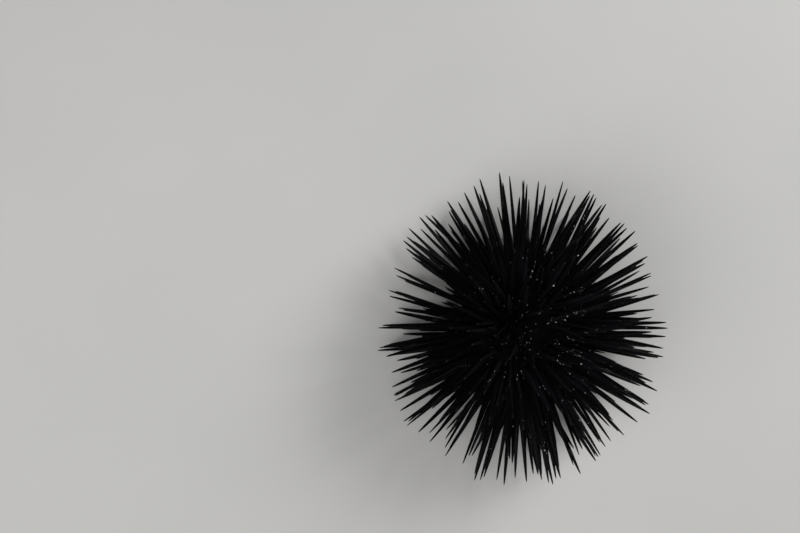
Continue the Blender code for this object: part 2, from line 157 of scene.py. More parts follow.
# Tube feet, pincers and gills, with the profile of their widths from the root to the end
PINCERS = 320
GILL_LOBES = 16
FOOT_STEP = 0.0013          # along a row of feet
FOOT_INSET = 0.00035        # from the side of a narrow sector
FOOT_LENGTHS, FOOT_WIDTHS = (0.0022, 0.0042), (0.00016, 0.00025)
PINCER_LENGTHS, PINCER_WIDTHS = (0.0016, 0.0042), (0.00012, 0.00020)
GILL_LENGTHS, GILL_WIDTHS = (0.0010, 0.0022), (0.00014, 0.00022)
FOOT_LEAN, PINCER_LEAN = 14, 16                         # scatter in degrees
FOOT_BEND, PINCER_BEND, GILL_BEND = 0.16, 0.10, 0.2     # in lengths
TUBE_SINK = 0.0003
TUBE_CLEARANCE = 0.00005
TUBE_TRIES = 10
FOOT_PROFILE = (1.25, 1.0, 0.9, 0.85, 0.8, 0.8, 0.78, 0.76, 0.80, 1.25, 1.55, 1.45)
PINCER_PROFILE = (0.6, 0.5, 0.45, 0.45, 0.45, 0.45, 0.45, 0.5, 1.2, 1.5, 1.15, 0.25)
PINCER_CLEFTS = (0, 0, 0, 0, 0, 0, 0, 0, 0.15, 0.3, 0.45, 0.5)
MOUTH_FOOT_PROFILE = (1.25, 1.05, 0.95, 0.92, 0.86, 0.9, 0.84, 0.82, 0.85, 1.2, 1.42, 1.35, 0.9)
GILL_PROFILE = (0.8, 1.0, 0.9, 1.1, 0.95, 1.15, 1.0, 0.8, 0.4)
KNOB_SEED, FOOT_SEED, PINCER_SEED, GRAIN_SEED, GILL_SEED = 3, 5, 11, 17, 29

# Grains of sand: places and radii in pixels, as the camera sees them
GRAINS = 180
TOP_GRAINS = 7              # on the plates at the top
SPECKS = (                  # larger grains one by one
    (523, 257, 0.5), (552, 252, 0.9), (554, 269, 0.5), (554, 285, 1.1), (542, 281, 0.4), (528, 305, 0.6),
    (490, 262, 0.4), (474, 292, 0.4), (490, 340, 0.4), (505, 373, 0.6), (513, 427, 0.6), (523, 421, 0.4),
    (506, 398, 0.4), (487, 382, 0.4), (574, 390, 0.6), (585, 394, 0.7), (566, 396, 0.4), (563, 401, 0.5),
    (571, 403, 0.5), (584, 380, 0.4), (589, 373, 0.6), (582, 364, 0.8), (569, 320, 0.7), (583, 287, 0.5),
    (583, 270, 0.4), (566, 297, 0.4), (588, 333, 0.5), (575, 314, 0.6), (578, 314, 0.6), (591, 351, 0.6),
)
STRINGS = (                 # curved rows of grains: places of the larger ones
    ((582, 353), (574, 350), (568, 352), (563, 353), (559, 356), (558, 361), (561, 364), (564, 365)),
    ((568, 337), (569, 341), (573, 343.5), (578, 345)),
    ((553, 317), (552, 320), (549, 323), (545, 328)),
    ((556, 344), (557.5, 341), (560, 344)),
    ((536, 261), (535, 265), (533, 270), (532, 277)),
    ((519, 372), (518, 376), (517, 380)),
    ((540, 388), (542, 387), (544, 390)),
    ((533, 343), (531, 349)),
)
STRING_STEP = 1.7           # between the fine grains of a string
FINE_GRAIN, LAST_GRAIN = 0.27, 0.6
SIDESTEP = 0.006            # metres of depth among the spines that a pixel aside is worth

# Mouth and top
ROOF_LEVEL = MOUTH_LEVEL + MOUTH_DEPTH - GAP
TOOTH_RING_RADIUS = 0.0027
TOOTH_TIP_LEVEL = 0.0031
TOOTH_BACKS = 0.0008, 0.0017, 0.0025    # distance of the back from the axis, from the tip up
TOOTH_HALVES = 0.00035, 0.00115         # half widths at the tip and at the mouth
TOOTH_KEEL = 0.0003
LIP_RADIUS = 0.0036
FOOT_RING_RADIUS = 0.0062
FOOT_SPREAD = math.radians(11)
FOOT_RADIUS = 0.00065
FOOT_ROOT_LEVEL = MOUTH_LEVEL + 0.0008
FOOT_TIP_LEVEL = 0.0026
VALVE_RADIUS = 0.0014
VALVES = 4
VALVE_SINK, VALVE_RISE = 0.0003, 0.0006
VALVE_SEAM = 0.00022, 0.00016
SMALL_PLATE_HALF = math.radians(15)
PLATE_DOME, PLATE_EDGE = 0.00034, 0.00045
PORE_RADIUS = 0.73 * DISC_RADIUS
PORE_DEPTH, PORE_WIDTH = 0.00035, 0.00020

# Picture
PHOTO_SIZE = (800, 533)
CAMERA_HEIGHT = 0.45
SCALE_AT_SHELL = 2750       # pixels a metre at the shell's widest level
AXIS_PLACE = (524, 329.5)   # where the upright axis meets the widest level, in pixels
CAMERA_TILT = math.radians(10)    # the animal leans this far to the right on its rock
CAMERA_DROP = CAMERA_HEIGHT - WIDEST_LEVEL
CAMERA_REACH = SCALE_AT_SHELL * CAMERA_DROP     # focal length in pixels
SENSOR_WIDTH = 36
RIGHTWARD = np.array([math.cos(CAMERA_TILT), 0, math.sin(CAMERA_TILT)])
DOWNWARD = np.array([math.sin(CAMERA_TILT), 0, -math.cos(CAMERA_TILT)])
CAMERA_PLACE = (            # from the upright axis on the floor
    np.array([0, (AXIS_PLACE[1] - PHOTO_SIZE[1] / 2) / SCALE_AT_SHELL, WIDEST_LEVEL])
    - DOWNWARD * CAMERA_DROP - RIGHTWARD * (AXIS_PLACE[0] - PHOTO_SIZE[0] / 2) / SCALE_AT_SHELL
)
LAMPS = (                   # name, place, width and power
    ("key", (0.52, 0.40, 0.52), 0.45, 5.0),
    ("left", (-0.52, -0.30, 0.50), 0.55, 2.6),
    ("overhead", (-0.14, -0.10, 0.80), 0.50, 1.6),
)
SKY_STRENGTH = 0.16
FLOOR_HALF = 3.0

OVERALL_HEIGHT = solid_box[1][2]
low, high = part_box("apical_disc")
AXIS = np.array([(low.x + high.x) / 2, (low.y + high.y) / 2, 0])
UPWARD = np.array([0, 0, 1.0])
PATCH = 0.003               # side of one spine's patch on the bake map
SECTORS = [f"{kind}_{ray + 1}" for kind in ("ambulacrum", "interambulacrum") for ray in range(RAYS)]
HALVES = [(ray, side, FIRST_RAY + ray * RAY_STEP) for ray in range(RAYS) for side in (-1, 1)]


def ease(start, stop, value):
    """Smooth step from 0 at start to 1 at stop."""
    share = min(1, max(0, (value - start) / (stop - start)))
    return share * share * (3 - 2 * share)


def ridge(distance, width):
    """1 on a line, falling to 0 on both sides."""
    return np.exp(-(distance / width) ** 2)


def rise(distance, width):
    """0 up to an edge and 1 from a width beyond it."""
    return np.clip(distance / width, 0, 1)


def crown_height(radius):
    """Height of the shell's own curve over a radius near the top."""
    return WIDEST_LEVEL + CROWN_HEIGHT * (1 - (radius / SHELL_RADIUS) ** CROWN_POWER) ** (1 / CROWN_POWER)


class Meridian:
    """The shell's outline from the disc's edge down to the mouth's edge, by length along it."""

    def __init__(self, samples=1600):
        turn = np.linspace(1e-4, math.pi / 2 - 1e-4, samples)
        radius = SHELL_RADIUS * np.sin(turn) ** (2 / CROWN_POWER)
        height = WIDEST_LEVEL + CROWN_HEIGHT * np.cos(turn) ** (2 / CROWN_POWER)
        crown = np.stack([radius, height])[:, radius > DISC_RADIUS + GAP]
        turn = turn[::-1]
        radius = MOUTH_RADIUS + (SHELL_RADIUS - MOUTH_RADIUS) * np.sin(turn) ** (2 / BELLY_POWER)
        height = WIDEST_LEVEL - BELLY_HEIGHT * np.cos(turn) ** (2 / BELLY_POWER)
        self.line = np.concatenate([crown, np.stack([radius, height])], axis=1)
        self.along = np.concatenate([[0], np.cumsum(np.hypot(*np.diff(self.line, axis=1)))])
        self.slope = np.gradient(self.line, self.along, axis=1)
        self.total = self.along[-1]
        self.widest = self.along[np.argmax(self.line[0])]

    def at(self, distance):
        """Radius, height and the elevation of the outward direction at a distance from the disc."""
        radius, height, up, inward = (
            float(np.interp(distance, self.along, values)) for values in (*self.line, *self.slope)
        )
        return radius, height, math.atan2(up, -inward)

    def narrow_half(self, distance):
        """Half the angle that a narrow sector spans at a distance from the disc."""
        if distance <= self.widest:
            return NARROW_HALF
        return NARROW_HALF * (SHELL_RADIUS / self.at(distance)[0]) ** MOUTH_WIDENING

    def fall(self, distance):
        """Share of the belly, from the widest level down to the mouth."""
        return (distance - self.widest) / (self.total - self.widest)


MERIDIAN = Meridian()


def spine_sites():
    """Sector kind, ray, distance from the disc and azimuth of each spine's root."""
    sites = []
    for ray, side, middle in HALVES:
        stagger = (side + 1) / 4
        distance = FIRST_WIDE_ROW + stagger * WIDE_ROW
        while distance < MERIDIAN.total - LAST_ROW_MARGIN:
            belly = distance > MERIDIAN.widest
            step = BELLY_STEP if belly else WIDE_STEP
            radius = MERIDIAN.at(distance)[0]
            half = (RAY_STEP / 2 - MERIDIAN.narrow_half(distance)) * radius
            span = half - MIDDLE_MARGIN - SEAM_MARGIN
            columns = max(1, round(span / step + 0.5))
            for column in range(columns):
                share = column / (columns - 1) if columns > 1 else 0.5
                offset = MIDDLE_MARGIN + step / 2 + (span - step / 2) * share
                if half >= ONE_COLUMN_WIDTH:
                    sites.append(("wide", ray, distance, middle + RAY_STEP / 2 + side * offset / radius))
                elif side < 0:
                    sites.append(("wide", ray, distance, middle + RAY_STEP / 2))
            distance += BELLY_ROW if belly else WIDE_ROW
        distance = FIRST_NARROW_ROW + stagger * NARROW_ROW
        while distance < MERIDIAN.total - LAST_ROW_MARGIN:
            radius = MERIDIAN.at(distance)[0]
            half = MERIDIAN.narrow_half(distance) * radius
            if half >= ONE_COLUMN_WIDTH:
                sites.append(("narrow", ray, distance, middle + side * half / 2 / radius))
            elif side < 0:
                sites.append(("narrow", ray, distance, middle))
            distance += BELLY_ROW if distance > MERIDIAN.widest else NARROW_ROW
    return sites


def bake_place(distance, azimuth):
    """Place on the unwrapped shell: the disc in the middle, the mouth's edge outside."""
    spread = 0.05 + 0.42 * distance / MERIDIAN.total
    return 0.5 + spread * np.cos(azimuth), 0.5 + spread * np.sin(azimuth)


class Spine:
    """A straight tapering spine from its foot on the shell to its tip, with a root below."""

    def __init__(self, site, foot, direction, length, radius, resting):
        self.kind, self.ray, self.distance, self.azimuth = site
        self.foot = foot
        self.direction = direction
        self.length = length
        self.radius = radius
        self.resting = resting
        self.root = foot - direction * SPINE_SINK
        self.tip = foot + direction * length
        self.place = bake_place(self.distance, self.azimuth)

    def thickness(self, share):
        """Radius at a share of the length."""
        if self.resting:
            return self.radius * (1 - BLUNT_TAPER * share)
        return self.radius * (1 - share) ** TAPER_POWER

    @property
    def outward(self):
        """Direction square to the shell under the spine."""
        elevation = MERIDIAN.at(self.distance)[2]
        level = math.cos(elevation)
        return level * math.cos(self.azimuth), level * math.sin(self.azimuth), math.sin(elevation)


def gathered(spines, name):
    """One attribute of all spines, as an array."""
    return np.array([getattr(spine, name) for spine in spines])


def spine_size(site, scatter):
    """Length and base radius of a spine by its place: longest along Y, shortest towards +X."""
    kind, _, distance, azimuth = site
    if distance <= MERIDIAN.widest:
        share = distance / MERIDIAN.widest
        length = SPINE_LENGTH * (CROWN_SPINE_SHARE + (1 - CROWN_SPINE_SHARE) * ease(0, 0.75, share))
        radius = SPINE_RADIUS * (CROWN_RADIUS_SHARE + (1 - CROWN_RADIUS_SHARE) * ease(0, 0.6, share))
    else:
        fall = MERIDIAN.fall(distance)
        length = SPINE_LENGTH * (1 - BELLY_LOSS * ease(0.05, 0.9, fall))
        radius = SPINE_RADIUS * (1 - BELLY_RADIUS_LOSS * fall)
    if kind == "narrow":
        length *= NARROW_SPINE_SHARE
        radius *= NARROW_RADIUS_SHARE
    reach = 1 - TALLER * math.cos(2 * azimuth) - RIGHT_LOSS * math.cos(azimuth)
    return length * (1 + scatter) * reach, radius


def nearest_room(spine, others, looked_at=12):
    """Free space between a spine and the nearest of the others, measured along their axes."""
    if not others:
        return 1.0
    axis = spine.tip - spine.root
    roots = gathered(others, "root")
    axes = gathered(others, "tip") - roots
    between = spine.root - roots
    aa = axis @ axis
    ab = axes @ axis
    bb = np.einsum("ij,ij->i", axes, axes)
    a_between = between @ axis
    b_between = np.einsum("ij,ij->i", axes, between)
    spread = np.maximum(aa * bb - ab ** 2, 1e-18)
    first = np.clip((ab * b_between - bb * a_between) / spread, 0, 1)
    second = np.clip((ab * first + b_between) / bb, 0, 1)
    first = np.clip((ab * second - a_between) / aa, 0, 1)
    apart = np.linalg.norm(between + first[:, None] * axis - second[:, None] * axes, axis=1)
    return min(
        apart[i] - spine.thickness(first[i]) - others[i].thickness(second[i])
        for i in np.argsort(apart)[:looked_at]
    )


def placed_spine(site, lean, size):
    """Spine at a site, with a lean along the surface and round it, in radians."""
    distance, azimuth = site[2:]
    length, radius = size
    ring_radius, height, elevation = MERIDIAN.at(distance)
    outward = np.array([math.cos(azimuth), math.sin(azimuth), 0])
    around = np.array([-math.sin(azimuth), math.cos(azimuth), 0])
    foot = outward * ring_radius + UPWARD * height
    resting = False
    if distance <= MERIDIAN.widest:
        elevation -= math.radians(SPLAY) * ease(0, 1, 1 - distance / MERIDIAN.widest)
        elevation += lean[0]
    else:
        fall = MERIDIAN.fall(distance)
        resting = fall > REST_SHARE
        if resting:
            spread = REST_TURN * (1 - ease(0.5, 1, fall))
            elevation = math.radians(spread - REST_START) + lean[0]
        else:
            lowest = -math.asin(min(1, (height - FLOOR_CLEARANCE) / length))
            elevation = max((elevation + lean[0]) * LOW_LEAN, lowest)
    direction = outward * math.cos(elevation) + UPWARD * math.sin(elevation)
    direction = direction * math.cos(lean[1]) + around * math.sin(lean[1])
    if resting:
        length = -height / direction[2]
    return Spine(site, foot, direction, length, radius, resting)


def spine_layout():
    """All spines, each turned and thinned until it clears those before it, or else left out."""
    chance = np.random.default_rng(SEED)
    phases = chance.uniform(0, 2 * math.pi, len(BUNCHES))
    spines = []
    for site in spine_sites():
        distance, azimuth = site[2:]
        length, radius = spine_size(site, LENGTH_SCATTER * chance.uniform(-1.3, 1))
        around = 0
        along = 0
        for (count, weight), phase in zip(BUNCHES, phases):
            around += weight * math.sin(count * azimuth + phase + 180 * distance)
            along += weight * math.sin((count + 3) * azimuth + phase - 140 * distance)
        for attempt in range(LEAN_TRIES):
            calm = 1 - attempt / LEAN_TRIES
            wander = SCATTER * (0.4 + 0.6 * calm) * chance.normal(size=2)
            lean = np.radians([
                0.35 * BUNCHING * along * calm + wander[0],
                0.5 * BUNCHING * around * calm + wander[1],
            ])
            spine = placed_spine(site, lean, (length, radius * (1 - THINNING * (1 - calm))))
            if nearest_room(spine, spines) > SPINE_CLEARANCE:
                spines.append(spine)
                break
    return spines


def random_site(chance, first, last):
    """A place on the shell, as likely in one patch as in any other of its size."""
    while True:
        distance = chance.uniform(first, last)
        azimuth = chance.uniform(0, 2 * math.pi) + FIRST_RAY
        if chance.uniform(0, SHELL_RADIUS) < MERIDIAN.at(distance)[0]:
            steps = (azimuth - FIRST_RAY) / RAY_STEP
            if abs(steps - round(steps)) * RAY_STEP < MERIDIAN.narrow_half(distance):
                return "narrow", round(steps) % RAYS, distance, azimuth
            return "wide", math.floor(steps) % RAYS, distance, azimuth


def fine_layout(spines):
    """Thinner, shorter spines that fill the room between the large ones."""
    chance = np.random.default_rng(FINE_SEED)
    fine = []
    for wanted, first, last, losses, lean in (
        (CROWN_SPINES, 0.0003, CROWN_SPREAD, (-0.86, -0.60), 2.2 * SCATTER),
        (FINE_SPINES, 0.0010, MERIDIAN.total - 0.0010, (-0.78, -0.42), SCATTER),
    ):
        goal = len(fine) + wanted
        for attempt in range(12 * wanted):
            site = random_site(chance, first, last)
            length, radius = spine_size(site, chance.uniform(*losses))
            size = length, radius * chance.uniform(*FINE_WIDTHS)
            spine = placed_spine(site, np.radians(lean * chance.normal(size=2)), size)
            if nearest_room(spine, spines + fine) > FINE_CLEARANCE:
                fine.append(spine)
            if len(fine) == goal:
                break
    return fine


def grid(rings, columns, closed=False):
    """Ring, column and point number of the four corners of each face between rings of points."""
    ring, column = np.meshgrid(np.arange(rings if closed else rings - 1), np.arange(columns), indexing="ij")
    ring = np.stack([ring, ring + 1, ring + 1, ring], axis=-1).reshape(-1, 4)
    column = np.stack([column, column, column + 1, column + 1], axis=-1).reshape(-1, 4)
    return ring, column, ring % rings * columns + column % columns


def mesh_piece(name, points, faces, bake, fibre, coat, shade, share):
    """Piece from face groups, with its bake map, its fibre map and two values on each point.

    A coat is a material, its slot, which is not used, and the nodes that the piece replaces.
    """
    material, slot, replaced = coat
    mesh = bpy.data.meshes.new(name)
    mesh.vertices.add(len(points))
    mesh.vertices.foreach_set("co", (points + AXIS).astype(np.float32).ravel())
    sizes = np.concatenate([np.full(len(group), group.shape[1]) for group in faces])
    indices = np.concatenate([group.ravel() for group in faces])
    mesh.loops.add(len(indices))
    mesh.loops.foreach_set("vertex_index", indices.astype(np.int32))
    mesh.polygons.add(len(sizes))
    starts = np.concatenate([[0], np.cumsum(sizes)[:-1]])
    mesh.polygons.foreach_set("loop_start", starts.astype(np.int32))
    mesh.polygons.foreach_set("use_smooth", np.ones(len(sizes), bool))
    mesh.update(calc_edges=True)
    for label, groups in (("OFBake", bake), ("Fibre", fibre)):
        places = np.concatenate([group.reshape(-1, 2) for group in groups])
        mesh.uv_layers.new(name=label).data.foreach_set("uv", places.astype(np.float32).ravel())
    for label, values in (("shade", shade), ("share", share)):
        attribute = mesh.attributes.new(label, "FLOAT", "POINT")
        attribute.data.foreach_set("value", np.full(len(points), np.ravel(values), np.float32))
    mesh.validate()
    mesh.materials.append(material)
    piece = bpy.data.objects.new(name, mesh)
    bpy.context.scene.collection.objects.link(piece)
    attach(piece, "root")
    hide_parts(*replaced)


def frames(directions):
    """Two directions square to each of the given ones."""
    helper = np.where(np.abs(directions[:, 2:]) < 0.9, [[0, 0, 1.0]], [[1.0, 0, 0]])
    side = np.cross(directions, helper)
    side /= np.linalg.norm(side, axis=1, keepdims=True)
    return side, np.cross(directions, side)


def circles(columns):
    """Turn of each column of a ring."""
    return 2 * np.pi * np.arange(columns) / columns


def tube_points(centres, directions, radius):
    """Points round centres (tube, ring, 3) at a radius for each tube, ring and column."""
    side, other = frames(directions)
    turn = circles(radius.shape[2])[None, :, None]
    offset = np.cos(turn) * side[:, None] + np.sin(turn) * other[:, None]
    return centres[:, :, None] + offset[:, None] * radius[..., None]


def tube_piece(name, points, places, shade, coat, patch=PATCH):
    """Closed tubes through points (tube, ring, column, 3), each with its own patch of the bake map."""
    tubes, rings, columns = points.shape[:3]
    ring, column, quads = (corners[:, [0, 3, 2, 1]] for corners in grid(rings, columns))
    around = np.arange(columns)
    ends = np.stack([around[::-1], around])
    groups = [
        (quads, column / columns, ring / (rings - 1)),
        (ends + [[0], [(rings - 1) * columns]], ends / columns, np.repeat([[0], [1]], columns, axis=1)),
    ]
    first = (np.arange(tubes) * rings * columns)[:, None, None]
    faces = [(group[0] + first).reshape(-1, group[0].shape[1]) for group in groups]
    local = [np.stack(group[1:], axis=-1) for group in groups]
    fibre = [np.broadcast_to(each, (tubes, *each.shape)) for each in local]
    bake = [places[:, None, None] + (each[None] - 0.5) * patch for each in local]
    share = np.broadcast_to(np.linspace(0, 1, rings)[:, None], (tubes, rings, columns))
    shades = np.repeat(shade, rings * columns)
    mesh_piece(name, points.reshape(-1, 3), faces, bake, fibre, coat, shades, share)


def turned_piece(name, outline, columns, relief, coat, closed=True):
    """Solid turned about the axis through (radius, height), raised by relief(radius, azimuth, height)."""
    outline = np.array(outline)
    rings = len(outline)
    radius = np.repeat(outline[:, :1], columns, axis=1)
    azimuth = np.broadcast_to(FIRST_RAY + circles(columns), radius.shape)
    height = outline[:, 1:] + relief(radius, azimuth, outline[:, 1:])
    points = np.stack([radius * np.cos(azimuth), radius * np.sin(azimuth), height], axis=-1).reshape(-1, 3)
    ring, column, quads = grid(rings, columns, closed)
    steps = np.concatenate([[0], np.cumsum(np.hypot(*np.diff(outline, axis=0).T))])
    steps = np.append(steps, steps[-1] * 1.02) / steps[-1] / 1.02
    angle = column / columns * 2 * np.pi + FIRST_RAY
    spread = 0.04 + 0.44 * steps[ring]
    faces = [quads]
    bake = [np.stack([0.5 + spread * np.cos(angle), 0.5 + spread * np.sin(angle)], axis=-1)]
    fibre = [np.stack([column / columns, steps[ring]], axis=-1)]
    if not closed:
        for end, order in ((0, 1), (rings - 1, -1)):
            cap = end * columns + np.arange(columns)[::order]
            faces.append(cap[None])
            flat = 0.5 + 0.02 * (points[cap, :2] / outline[:, 0].max())
            bake.append(flat)
            fibre.append(flat)
    share = np.repeat(np.linspace(0, 1, rings), columns)
    mesh_piece(name, points, faces, bake, fibre, coat, 0.5, share)


class Paint:
    """A node material: one Principled shader and the nodes that feed it."""

    def __init__(self, name, roughness, specular):
        self.material = bpy.data.materials.new(name)
        self.material.use_nodes = True
        self.tree = self.material.node_tree
        self.shader = self.tree.nodes["Principled BSDF"]
        self.shader.inputs["Roughness"].default_value = roughness
        self.shader.inputs["Specular IOR Level"].default_value = specular

    def feed(self, node, *pairs):
        """Link inputs of a node to other nodes, or set them to numbers, vectors or colours."""
        for key, value in pairs:
            socket = node.inputs[key]
            if isinstance(value, bpy.types.NodeSocket):
                self.tree.links.new(value, socket)
            else:
                socket.default_value = (*value, 1) if socket.type == "RGBA" else value

    def node(self, kind, settings=None, **inputs):
        made = self.tree.nodes.new(kind)
        for key, value in (settings or {}).items():
            setattr(made, key, value)
        self.feed(made, *inputs.items())
        return made

    def link(self, socket, name):
        self.tree.links.new(socket, self.shader.inputs[name])

    def place(self):
        return self.node("ShaderNodeTexCoord").outputs["Object"]

    def fibre(self):
        return self.node("ShaderNodeUVMap", {"uv_map": "Fibre"}).outputs["UV"]

    def part(self, vector, name):
        return self.node("ShaderNodeSeparateXYZ", Vector=vector).outputs[name]

    def value(self, name):
        return self.node("ShaderNodeAttribute", {"attribute_name": name}).outputs["Fac"]

    def noise(self, scale, detail):
        settings = {"Vector": self.place(), "Scale": scale, "Detail": detail, "Roughness": 0.55}
        return self.node("ShaderNodeTexNoise", **settings).outputs["Fac"]

    def cells(self, scale):
        return self.node("ShaderNodeTexVoronoi", Vector=self.place(), Scale=scale).outputs["Distance"]

    def ramp(self, value, *stops):
        """Colours or greys at places from 0 to 1 of a value."""
        made = self.node("ShaderNodeValToRGB", Fac=value)
        elements = made.color_ramp.elements
        while len(elements) < len(stops):
            elements.new(0.5)
        for element, (place, colour) in zip(elements, stops):
            element.position = place
            element.color = (*(colour if isinstance(colour, tuple) else (colour,) * 3), 1)
        return made.outputs["Color"]

    def mottled(self, value, dark, pale):
        return self.ramp(value, (0.3, dark), (0.7, pale))

    def mixed(self, share, first, second):
        made = self.node("ShaderNodeMix", {"data_type": "RGBA"})
        self.feed(made, (0, share), (6, first), (7, second))
        return made.outputs[2]

    def sums(self, operation, first, second=0):
        made = self.node("ShaderNodeMath", {"operation": operation})
        self.feed(made, (0, first), (1, second))
        return made.outputs[0]

    def done(self, colour, relief, depth, strength):
        """The material, with its colour and its finest relief."""
        self.link(colour, "Base Color")
        bump = self.node("ShaderNodeBump", Height=relief, Distance=depth, Strength=strength)
        self.link(bump.outputs["Normal"], "Normal")
        return self.material


def spine_paint():
    """Black with a faint blue cast, with painted shade that darkens it far out, lengthwise ribs, and paler
    tips on the top spines that are partly wear and partly a painted highlight.
    """
    paint = Paint("spine_black", 0.38, 0.06)
    colour = paint.ramp(paint.value("shade"), (0, (0.0050, 0.0050, 0.0060)),
                        (0.6, (0.0068, 0.0068, 0.0082)), (1, (0.0100, 0.0100, 0.0116)))
    place = paint.place()
    height = paint.sums("MULTIPLY", paint.part(place, "Z"), 1 / OVERALL_HEIGHT)
    # Paler tips on the topmost spines: partly worn tips, partly a painted highlight where these tips point
    # up into the light.
    tip = paint.ramp(paint.value("share"), (0.84, 0), (1.0, 0.9))
    worn_and_glint = paint.sums("MULTIPLY", paint.ramp(height, (0.66, 0), (0.9, 1)), tip)
    # Painted shade: the spines are painted darker far out from the axis, to offset the stronger light they
    # get there.
    level = paint.node("ShaderNodeVectorMath", {"operation": "MULTIPLY_ADD"})
    paint.feed(level, (0, place), (1, (1, 1, 0)), (2, (-AXIS[0], -AXIS[1], 0)))
    away = paint.node("ShaderNodeVectorMath", {"operation": "LENGTH"}, Vector=level.outputs[0])
    far = paint.sums("DIVIDE", away.outputs["Value"], 2 * SHELL_RADIUS)
    colour = paint.mixed(paint.ramp(far, (0.46, 0), (0.78, 1)), colour, (0.0007, 0.0007, 0.0009))
    colour = paint.mixed(worn_and_glint, colour, (0.030, 0.030, 0.032))
    grain = paint.noise(900, 5)
    colour = paint.mixed(paint.ramp(grain, (0.45, 0), (0.75, 0.35)), colour, (0.0076, 0.0076, 0.0092))
    paint.link(paint.mottled(paint.noise(420, 3), 0.16, 0.28), "Roughness")
    ribs = paint.sums("MULTIPLY", paint.part(paint.fibre(), "X"), 4 * math.pi * SPINE_RIBS)
    ribs = paint.sums("MULTIPLY", paint.sums("SINE", ribs), 0.5)
    relief = paint.sums("ADD", ribs, paint.sums("MULTIPLY", grain, 0.8))
    return paint.done(colour, relief, 0.00003, 0.6)


def shell_paint():
    """Black skin with fine granules."""
    paint = Paint("shell_black", 0.75, 0.02)
    colour = paint.mottled(paint.noise(140, 4), (0.0014, 0.0014, 0.0017), (0.0030, 0.0030, 0.0035))
    grains = paint.cells(2600)
    colour = paint.mixed(paint.ramp(grains, (0, 0.35), (0.45, 0)), colour, (0.0040, 0.0040, 0.0044))
    return paint.done(colour, paint.sums("SUBTRACT", 1.0, grains), 0.00008, 0.7)


def plate_paint():
    """Top plates: black and finely pitted, with painted shade in the pits."""
    paint = Paint("plate_black", 0.75, 0.02)
    colour = paint.mottled(paint.noise(500, 5), (0.0010, 0.0010, 0.0011), (0.0024, 0.0024, 0.0027))
    pits = paint.cells(4200)
    # Painted shade: the pits, which the bump sinks, are painted darker.
    colour = paint.mixed(paint.ramp(pits, (0.1, 0.5), (0.4, 0)), colour, (0.0005, 0.0005, 0.0006))
    return paint.done(colour, pits, 0.00006, 0.8)


def valve_paint():
    """The four valves: brownish black with paler streaks."""
    paint = Paint("valve_dark", 0.6, 0.04)
    streak = paint.noise(1600, 5)
    colour = paint.mottled(streak, (0.0010, 0.0009, 0.0010), (0.0034, 0.0030, 0.0029))
    return paint.done(colour, streak, 0.00005, 0.6)


def soft_paint(name, dark, pale, wet):
    """Wet dark flesh of the mouth's skin, feet and gills."""
    paint = Paint(name, wet, 0.15)
    paint.link(paint.mottled(paint.noise(1500, 3), wet, wet + 0.15), "Roughness")
    return paint.done(paint.mottled(paint.noise(700, 5), dark, pale), paint.noise(2400, 4), 0.00005, 0.6)


def pincer_paint():
    """Dark stalks with pale jaws."""
    paint = Paint("pincer", 0.5, 0.3)
    stalk = paint.mottled(paint.noise(1800, 3), (0.0033, 0.00312, 0.00312), (0.0055, 0.0052, 0.0052))
    jaws = paint.ramp(paint.value("shade"), (0, (0.055, 0.0525, 0.05)), (1, (0.11, 0.105, 0.10)))
    colour = paint.mixed(paint.ramp(paint.value("share"), (0.72, 0), (0.84, 1)), stalk, jaws)
    return paint.done(colour, paint.noise(3000, 3), 0.00003, 0.5)


def grain_paint():
    """Sand grains and shell crumbs, each of its own grey or cream."""
    paint = Paint("grain_pale", 0.6, 0.4)
    colour = paint.ramp(paint.value("shade"), (0, (0.16, 0.16, 0.17)), (0.5, (0.38, 0.37, 0.36)),
                        (1, (0.80, 0.80, 0.78)))
    colour = paint.mixed(paint.noise(4000, 3), colour, (0.30, 0.29, 0.28))
    return paint.done(colour, paint.noise(5000, 4), 0.00003, 0.8)


def tooth_paint():
    """Ivory teeth, whiter at the point, with fine growth lines."""
    paint = Paint("tooth_ivory", 0.3, 0.5)
    along = paint.part(paint.fibre(), "Y")
    colour = paint.ramp(along, (0, (0.50, 0.42, 0.30)), (0.7, (0.70, 0.64, 0.52)), (1, (0.80, 0.78, 0.70)))
    stain = paint.ramp(paint.noise(1200, 4), (0.4, 0), (0.8, 0.4))
    lines = paint.sums("SINE", paint.sums("MULTIPLY", along, 120.0))
    return paint.done(paint.mixed(stain, colour, (0.34, 0.26, 0.17)), lines, 0.00002, 0.5)


